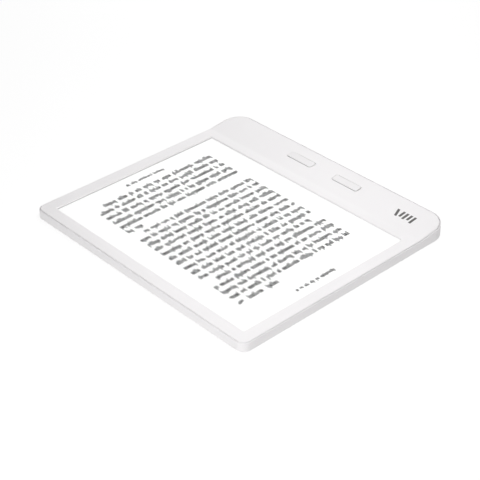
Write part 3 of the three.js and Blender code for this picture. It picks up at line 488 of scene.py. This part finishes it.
def loft(name, rings):
    """A closed solid through rings of equal count. Each ring's second half mirrors its first, so
    both ends close with rungs between mirrored points."""
    work = bmesh.new()
    loops = [[work.verts.new(point * MM) for point in ring] for ring in rings]
    count = len(loops[0])
    for lower, upper in zip(loops, loops[1:]):
        for i in range(count):
            j = (i + 1) % count
            work.faces.new((lower[i], lower[j], upper[j], upper[i]))
    for loop, flip in ((loops[0], True), (loops[-1], False)):
        for i in range(count // 2 - 1):
            rung = (loop[i], loop[i + 1], loop[count - 2 - i], loop[count - 1 - i])
            work.faces.new(tuple(reversed(rung)) if flip else rung)
    bmesh.ops.recalc_face_normals(work, faces=work.faces)
    mesh = bpy.data.meshes.new(name)
    work.to_mesh(mesh)
    work.free()
    return link(name, mesh)


def subtract(piece, *cutters):
    """Cuts the cutters out of the piece and removes them."""
    for cutter in cutters:
        step = piece.modifiers.new("cut", "BOOLEAN")
        step.operation = "DIFFERENCE"
        step.solver = "EXACT"
        step.object = cutter
    bpy.context.view_layer.update()
    ready = piece.evaluated_get(bpy.context.evaluated_depsgraph_get())
    mesh = bpy.data.meshes.new_from_object(ready)
    piece.modifiers.clear()
    old = piece.data
    piece.data = mesh
    bpy.data.meshes.remove(old)
    for cutter in cutters:
        bpy.data.objects.remove(cutter)
    return piece


SHARP_ANGLE = math.radians(28)


def smooth(piece):
    """Smooth shading with sharp edges kept, and flats kept flat beside their rounds."""
    for face in piece.data.polygons:
        face.use_smooth = True
    piece.data.set_sharp_from_angle(angle=SHARP_ANGLE)
    even = piece.modifiers.new("even_normals", "WEIGHTED_NORMAL")
    even.keep_sharp = True
    return piece


def on_grip(piece):
    """Moves a piece drawn in the grip's own frame (x up the slope, z off the surface) into place."""
    place = Matrix.Translation(Vector((FOLD_X, 0, THIN_DEPTH)) * MM)
    piece.data.transform(place @ Matrix.Rotation(-GRIP_SLOPE, 4, "Y"))
    return piece


def finish_piece(piece, material, body, slot, *nodes):
    """Gives a piece its material, its body, and the nodes whose place it takes."""
    piece.data.materials.clear()
    piece.data.materials.append(material)
    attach(piece, body)
    if nodes:
        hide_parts(*nodes)
    return piece


# ---- Case ----
def bezel_rings():
    """From the flat underside, over the locating rib, up the rounded edge to the front face."""
    inner = SKIRT_INSET + SKIRT_WIDTH
    rings = [
        front_ring(inner + SKIRT_LANDING, BEZEL_SKIN),
        front_ring(inner, BEZEL_SKIN),
        front_ring(inner, SKIRT_DROP),
        front_ring(SKIRT_INSET, SKIRT_DROP),
        front_ring(SKIRT_INSET, BEZEL_SKIN),
        front_ring(SEAM_INSET, BEZEL_SKIN),
    ]
    for turn in quarter_steps(7):
        rings.append(edge_ring(1 - math.cos(turn), 1 - math.sin(turn)))
    return rings


def window_cutter():
    """The page window, with a rounded lip where it meets the front face."""
    steps = [(0.0, THIN_DEPTH - 2 * BEZEL_SKIN), (0.0, THIN_DEPTH - WINDOW_LIP)]
    for turn in quarter_steps(7)[1:]:
        grow = WINDOW_LIP * (1 - math.cos(turn))
        steps.append((grow, THIN_DEPTH - WINDOW_LIP * (1 - math.sin(turn))))
    steps.append((WINDOW_LIP, THIN_DEPTH + BEZEL_SKIN))
    rings = []
    for grow, z in steps:
        outline = block_outline(
            WINDOW_LEFT - grow, WINDOW_RIGHT + grow, WINDOW_HALF + grow, WINDOW_CORNER + grow,
        )
        rings.append(level_ring(outline, z))
    return loft("window_cutter", rings)


def page_button_outline(side, grow, corner=None):
    """Outline of a page button in the grip frame, ordered from its far end to its near end."""
    far = PAGE_BUTTON_NEAR + PAGE_BUTTON_LENGTH + grow
    near = PAGE_BUTTON_NEAR - grow
    half = PAGE_BUTTON_WIDTH / 2 + grow
    round_off = PAGE_BUTTON_CORNER + grow if corner is None else corner
    middle = PAGE_BUTTON_INSET + PAGE_BUTTON_WIDTH / 2
    outline = block_outline(near, far, half, round_off, 6)
    return [(middle + v, side * u) for u, v in outline]


def slot_cutter(side):
    """The slot for one page button, with a slight round at its rim."""
    steps = [(0.0, -3 * BEZEL_SKIN), (0.0, -SLOT_ROUND)]
    for turn in quarter_steps(3)[1:]:
        steps.append((SLOT_ROUND * (1 - math.cos(turn)), -SLOT_ROUND * (1 - math.sin(turn))))
    steps.append((SLOT_ROUND, BEZEL_SKIN))
    rings = [level_ring(page_button_outline(side, BUTTON_PLAY + grow), z) for grow, z in steps]
    return on_grip(loft("slot_cutter", rings))


def make_bezel(material):
    bezel = loft("front_bezel_moulding", bezel_rings())
    subtract(bezel, window_cutter(), slot_cutter(1), slot_cutter(-1))
    smooth(bezel)
    return finish_piece(bezel, material, "case", "white_shell", "front_bezel")


def cover_rings():
    """From the back, round its edge, up the side wall, over the lip, and down inside to the floor."""
    rings = []
    for turn in quarter_steps(6):
        inset = BACK_FILLET * (1 - math.sin(turn))
        rings.append(level_ring(case_outline(inset), BACK_FILLET * (1 - math.cos(turn))))
    for turn in quarter_steps(4):
        inset = RIM_ROUND * (1 - math.cos(turn))
        rings.append(front_ring(inset, RIM_DROP + RIM_ROUND * (1 - math.sin(turn))))
    rings += [
        front_ring(RIM_WIDTH - RIM_CHAMFER, RIM_DROP),
        front_ring(RIM_WIDTH, RIM_DROP + RIM_CHAMFER),
        front_ring(RIM_WIDTH, LEDGE_DROP),
        front_ring(WALL, LEDGE_DROP),
        level_ring(case_outline(WALL), FLOOR),
    ]
    return rings


def round_cutter(name, node, grow, flare):
    """A hole through the back around a round node, flared slightly where it meets the back."""
    low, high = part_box(node)
    centre = (low + high) / 2 / MM
    radius = (high.x - low.x) / 2 / MM + grow
    rings = []
    for wider, z in ((flare, -FLOOR), (flare, 0.0), (0.0, flare), (0.0, 2 * FLOOR)):
        reach = radius + wider
        outline = block_outline(-reach, reach, reach, reach, 16)
        rings.append(level_ring([(centre.x + x, centre.y + y) for x, y in outline], z))
    return loft(name, rings)


def port_cutter():
    """The mouth of the port through the grip's side wall."""
    low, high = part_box("usb_receptacle")
    low, high = low / MM, high / MM
    middle = (low + high) / 2
    steps = [
        (0.0, HALF_X - 2 * WALL),
        (0.0, HALF_X - PORT_FLARE),
        (PORT_FLARE, HALF_X),
        (PORT_FLARE, HALF_X + 1),
    ]
    rings = []
    for grow, x in steps:
        half_z = (high.z - low.z) / 2 + PORT_PLAY + grow
        half_y = (high.y - low.y) / 2 + PORT_PLAY + grow
        outline = block_outline(-half_z, half_z, half_y, PORT_CORNER + grow, 6)
        rings.append([Vector((x, middle.y + y, middle.z + z)) for z, y in outline])
    return loft("port_cutter", rings)


def make_cover(material):
    cover = loft("rear_cover_shell", cover_rings())
    subtract(
        cover,
        round_cutter("power_cutter", "power_button", POWER_PLAY - POWER_FLANGE, POWER_FLARE),
        round_cutter("status_cutter", "status_light_pipe", STATUS_PLAY - STATUS_FLANGE, STATUS_FLARE),
        port_cutter(),
    )
    smooth(cover)
    return finish_piece(cover, material, "case", "white_shell", "rear_cover")


# ---- Buttons ----
def page_button(side, name, body, material):
    """A cap whose face leans up towards its far end, over its flange and stem."""
    middle_v = PAGE_BUTTON_NEAR + PAGE_BUTTON_LENGTH / 2
    middle_u = PAGE_BUTTON_INSET + PAGE_BUTTON_WIDTH / 2
    stem = block_outline(middle_v - STEM_RADIUS, middle_v + STEM_RADIUS, STEM_RADIUS, STEM_RADIUS, 6)
    stem = [(middle_u + v, side * u) for u, v in stem]
    lean = (PAGE_BUTTON_HIGH - PAGE_BUTTON_LOW) / PAGE_BUTTON_LENGTH

    def face_ring(grow, drop):
        ring = []
        for x, y in page_button_outline(side, grow, PAGE_BUTTON_CORNER):
            along = abs(y) - PAGE_BUTTON_NEAR
            ring.append(Vector((x, y, PAGE_BUTTON_LOW + along * lean - drop)))
        return ring

    rings = [
        level_ring(stem, STEM_BOTTOM),
        level_ring(stem, FLANGE_BOTTOM),
        level_ring(page_button_outline(side, FLANGE_REACH), FLANGE_BOTTOM),
        level_ring(page_button_outline(side, FLANGE_REACH), FLANGE_TOP),
        level_ring(page_button_outline(side, 0.0), FLANGE_TOP),
    ]
    for turn in quarter_steps(5):
        grow = -PAGE_BUTTON_ROUND * (1 - math.cos(turn))
        rings.append(face_ring(grow, PAGE_BUTTON_ROUND * (1 - math.sin(turn))))
    cap = smooth(on_grip(loft(f"{name}_cap", rings)))
    return finish_piece(cap, material, body, "button_cap", name)


def power_button(material):
    """A round cap, dished in the middle so that a fingertip finds it on the back."""
    low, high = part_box("power_button")
    low, high = low / MM, high / MM
    middle = (low + high) / 2
    flange = (high.x - low.x) / 2
    radius = flange - POWER_FLANGE
    flange_low = FLOOR + POWER_FLANGE_GAP
    flange_high = flange_low + POWER_FLANGE_THICKNESS
    profile = [(LEAST_RADIUS, low.z + POWER_DISH)]
    for share in (0.3, 0.55, 0.75, 0.88):
        profile.append((radius * share, low.z + POWER_DISH * (1 - share ** 2)))
    for turn in quarter_steps(5):
        reach = radius - POWER_ROUND * (1 - math.sin(turn))
        profile.append((reach, low.z + POWER_ROUND * (1 - math.cos(turn))))
    profile += [
        (radius, flange_low),
        (flange, flange_low),
        (flange, flange_high),
        (POWER_POST, flange_high),
        (POWER_POST, high.z),
        (LEAST_RADIUS, high.z),
    ]
    rings = []
    for reach, z in profile:
        outline = block_outline(-reach, reach, reach, reach * 0.999, 16)
        rings.append(level_ring([(middle.x + x, middle.y + y) for x, y in outline], z))
    cap = smooth(loft("power_button_cap", rings))
    return finish_piece(cap, material, "power_key", "button_cap", "power_button")


# ---- The page: rows of plain bars that stand for print, without any lettering ----
INK_THICKNESS = 0.012
INK_LIFT = 0.006
LINE_PITCH = 5.53
MARK_RISE = 2.5  # height of a plain bar
MARK_SPREAD = 2.25  # what a bar's width is a share of
COLUMN_LEFT = -51.0
COLUMN_RIGHT = 30.3
FIRST_LINE = 57.0
HEADER = (-23.3, 2.8, 64.5)  # from, to and middle height of the small row above the column
FOOTER = (-24.1, 2.2, -65.2)
SMALL_PRINT = 0.68
BLOCKS_OF_ROWS = (
    # number of rows, indent of the first row, where the last row ends
    (6, 6.5, -41.0),
    (10, 6.7, 24.5),
    (5, 6.2, -24.8),
)
MARKS = (
    # width, foot and top of a bar, as shares of the spread and the rise
    (0.26, 0, 1),
    (0.36, 0, 1),
    (0.2, 0, 1),
    (0.44, 0.04, 0.96),
    (0.3, 0.3, 1),
    (0.3, 0, 0.7),
    (0.22, 0, 1.4),
    (0.26, 0, 1.4),
    (0.26, -0.42, 1),
)
MARK_GAP = 0.12
PRINT_SEED = 7
GROUP_LENGTHS = (2, 3, 3, 4, 4, 5, 6, 7, 8, 8, 9, 10, 10, 11, 13, 15)
GROUP_GAP = 0.55
MARK_WIDTH = 0.42  # a bar and its gap, on average


def ink_block(work, corners, low):
    """A thin flat block of ink over four corners, added to a mesh in work."""
    below = [work.verts.new(Vector((x, y, low)) * MM) for x, y in corners]
    above = [work.verts.new(Vector((x, y, low + INK_THICKNESS)) * MM) for x, y in corners]
    work.faces.new(tuple(reversed(below)))
    work.faces.new(tuple(above))
    for i in range(4):
        j = (i + 1) % 4
        work.faces.new((below[i], below[j], above[j], above[i]))


def print_row(work, chance, left, right, middle, scale):
    """Sets one row of bars in groups, with the spaces stretched so that the row ends at right."""
    spread = MARK_SPREAD * scale
    rise = MARK_RISE * scale
    base = middle - rise / 2
    groups = []
    room = right - left
    while room > 3 * MARK_WIDTH * spread:
        count = min(chance.choice(GROUP_LENGTHS), max(int(room / (MARK_WIDTH * spread)), 1))
        groups.append([chance.choice(MARKS) for _ in range(count)])
        room -= sum(width + MARK_GAP for width, _, _ in groups[-1]) * spread + GROUP_GAP * spread
    space = GROUP_GAP * spread + (room + GROUP_GAP * spread) / max(len(groups) - 1, 1)
    x = left
    for group in groups:
        for width, foot, top in group:
            near, far = x, x + width * spread
            low, high = base + foot * rise, base + top * rise
            corners = [(near, low), (far, low), (far, high), (near, high)]
            ink_block(work, corners, FILM_TOP + INK_LIFT)
            x = far + MARK_GAP * spread
        x += space


def make_page(material):
    """Three blocks of full rows, and a small row above and below them."""
    chance = random.Random(PRINT_SEED)
    work = bmesh.new()
    middle = FIRST_LINE
    for count, indent, last_end in BLOCKS_OF_ROWS:
        for i in range(count):
            left = COLUMN_LEFT + (indent if i == 0 else 0)
            right = last_end if i == count - 1 else COLUMN_RIGHT
            print_row(work, chance, left, right, middle, 1)
            middle -= LINE_PITCH
    for left, right, middle in (HEADER, FOOTER):
        print_row(work, chance, left, right, middle, SMALL_PRINT)
    mesh = bpy.data.meshes.new("page_print")
    work.to_mesh(mesh)
    work.free()
    return finish_piece(link("page_print", mesh), material, "case", "page_film")


# ---- The mark printed on the grip: a row of books, the last one leaning ----
MARK_PLACE = (12.4, -59.2)  # foot and middle of the row, in the plane of the grip
BOOKS = (
    # where a book starts along the row, its width, its height, and how far its top leans
    (-6.5, 1.4, 5.6, 0),
    (-4.0, 1.4, 4.4, 0),
    (-1.5, 1.4, 5.2, 0),
    (1.0, 1.4, 4.6, 0),
    (4.9, 1.5, 5.4, -1.9),
)


def make_mark(material):
    """Prints the row of books along the grip, their tops towards the page window."""
    work = bmesh.new()
    x, y = MARK_PLACE
    for start, width, height, lean in BOOKS:
        near = y + start
        far = near + width
        corners = [(x, near), (x, far), (x - height, far + lean), (x - height, near + lean)]
        ink_block(work, corners, INK_LIFT)
    mesh = bpy.data.meshes.new("grip_mark")
    work.to_mesh(mesh)
    work.free()
    return finish_piece(on_grip(link("grip_mark", mesh)), material, "case", "wire")


# ---- Nodes that keep their CAD shape ----
def dress_nodes(page, shell):
    """Gives every node the finish of its slot in the record."""
    rubber = {"IOR": 1.43}
    plastic = {"IOR": 1.53}
    clear = {"IOR": 1.49, "Transmission Weight": 0.85}
    finishes = {
        "page_film": page,
        "white_shell": shell,
        "button_cap": shell,
        "light_guide": moulding(
            "moulded_acrylic_guide", ("#E8F1F5", "#EEF5F8"), 0.12, 1.5, 0.001, clear,
        )[0],
        "light_pipe": moulding(
            "frosted_polycarbonate", ("#EAEEF0", "#F0F3F4"), 0.4, 0.5, 0.004, clear,
        )[0],
        "panel": moulding("e_paper_laminate", ("#D6D6D2", "#DDDDD9"), 0.45, 0.4, 0.002, plastic)[0],
        "foam": moulding("closed_cell_foam", ("#1D1D20", "#2C2C30"), 0.9, 0.35, 0.05, rubber)[0],
        "adhesive": moulding(
            "die_cut_bonding_film", ("#2E2D2F", "#3A393B"), 0.6, 0.8, 0.004, plastic,
        )[0],
        "frame": worked_metal("die_cast_magnesium", ("#8F9398", "#A4A8AD"), 0.52, 0.5),
        "pouch": worked_metal("aluminium_laminate_pouch", ("#AEB1B5", "#BFC2C6"), 0.38, 3.0),
        "board": solder_mask_board(),
        "chip": moulding("moulded_epoxy_package", ("#17181A", "#222326"), 0.55, 0.2, 0.004, plastic)[0],
        "connector": moulding(
            "liquid_crystal_polymer", ("#CFC5AE", "#DAD1BC"), 0.5, 0.3, 0.003, plastic,
        )[0],
        "flex": polyimide_flex(),
        "tin_plate": worked_metal("tin_plated_steel", ("#B9BCC0", "#CBCED1"), 0.34, 0.8, (0.2, 1, 1)),
        "steel": worked_metal("plated_steel", ("#8D9196", "#A2A6AB"), 0.3, 0.4, (1, 0.25, 1)),
        "magnet": worked_metal("nickel_plated_magnet", ("#8A8C8F", "#9C9EA1"), 0.22, 1.2),
        "silicone": moulding("moulded_silicone", ("#47484C", "#54555A"), 0.8, 0.4, 0.006, rubber)[0],
        "wire": moulding("insulated_lead", ("#18191B", "#242528"), 0.55, 0.5, 0.004, plastic)[0],
    }
    slots = {part["node"]: part["material_slot"] for part in frame["record"]["subparts"]}
    for name, node in frame["nodes"].items():
        node.data.materials.clear()
        node.data.materials.append(finishes[slots[name]])


# ---- Floor and light ----
FLOOR_GLOW = 0.83
FLOOR_REACH = 6.0  # metres from the middle to each edge
FLOOR_DROP = 0.00005  # metres below the back, so that the two faces do not meet
WORLD_LEVEL = 0.12
SOFTBOXES = (
    # name, place and width in metres, power in watts
    ("back_softbox", (0.45, 0.45, 0.3), 0.4, 1.86),
    ("overhead_softbox", (0.0, -0.1, 0.35), 0.2, 0.503),
    ("right_softbox", (0.12, 0.0, 0.35), 0.2, 0.308),
    ("left_fill", (-0.35, -0.25, 0.25), 0.3, 0.735),
    ("low_left_fill", (-0.25, -0.1, 0.1), 0.12, 0.07),
)


def make_floor():
    """An opal acrylic table lit from beneath: evenly white, and it takes only the faintest shadow."""
    work = bmesh.new()
    for x, y in ((-1, -1), (1, -1), (1, 1), (-1, 1)):
        work.verts.new((x * FLOOR_REACH, y * FLOOR_REACH, -FLOOR_DROP))
    work.verts.ensure_lookup_table()
    work.faces.new(work.verts[:])
    mesh = bpy.data.meshes.new("studio_floor")
    work.to_mesh(mesh)
    work.free()
    floor = link("studio_floor", mesh)
    material, _, _ = new_material("opal_acrylic_light_table", {
        "Base Color": srgb("#7F7F7F"), "Roughness": 0.9, "Specular IOR Level": 0.1,
        "Emission Color": srgb("#FFFFFF"), "Emission Strength": FLOOR_GLOW,
    })
    floor.data.materials.append(material)


def make_lights():
    """Softboxes that all face the reader's middle, in an evenly lit pale room."""
    for name, place, size, power in SOFTBOXES:
        data = bpy.data.lights.new(name, "AREA")
        data.shape = "SQUARE"
        data.size = size
        data.energy = power
        lamp = bpy.data.objects.new(name, data)
        bpy.context.scene.collection.objects.link(lamp)
        lamp.location = place
        lamp.visible_camera = False
        lamp.rotation_mode = "QUATERNION"
        lamp.rotation_quaternion = (-Vector(place)).to_track_quat("-Z", "Y")
    world = bpy.data.worlds.new("studio")
    world.use_nodes = True
    backdrop = world.node_tree.nodes["Background"]
    backdrop.inputs["Color"].default_value = (1, 1, 1, 1)
    backdrop.inputs["Strength"].default_value = WORLD_LEVEL
    bpy.context.scene.world = world
    bpy.context.scene.view_settings.view_transform = "Standard"


# ---- The whole scene ----
make_camera()
shell_plastic = moulded_shell_plastic()[0]
back_plastic = moulded_back_plastic()
button_plastic = moulded_button_plastic()
dress_nodes(matt_coated_page(), shell_plastic)
make_bezel(shell_plastic)
make_cover(back_plastic)
page_button(1, "upper_page_button", "upper_page_key", button_plastic)
page_button(-1, "lower_page_button", "lower_page_key", button_plastic)
power_button(button_plastic)
make_page(page_pigment())
make_mark(printed_mark_ink())
make_floor()
make_lights()
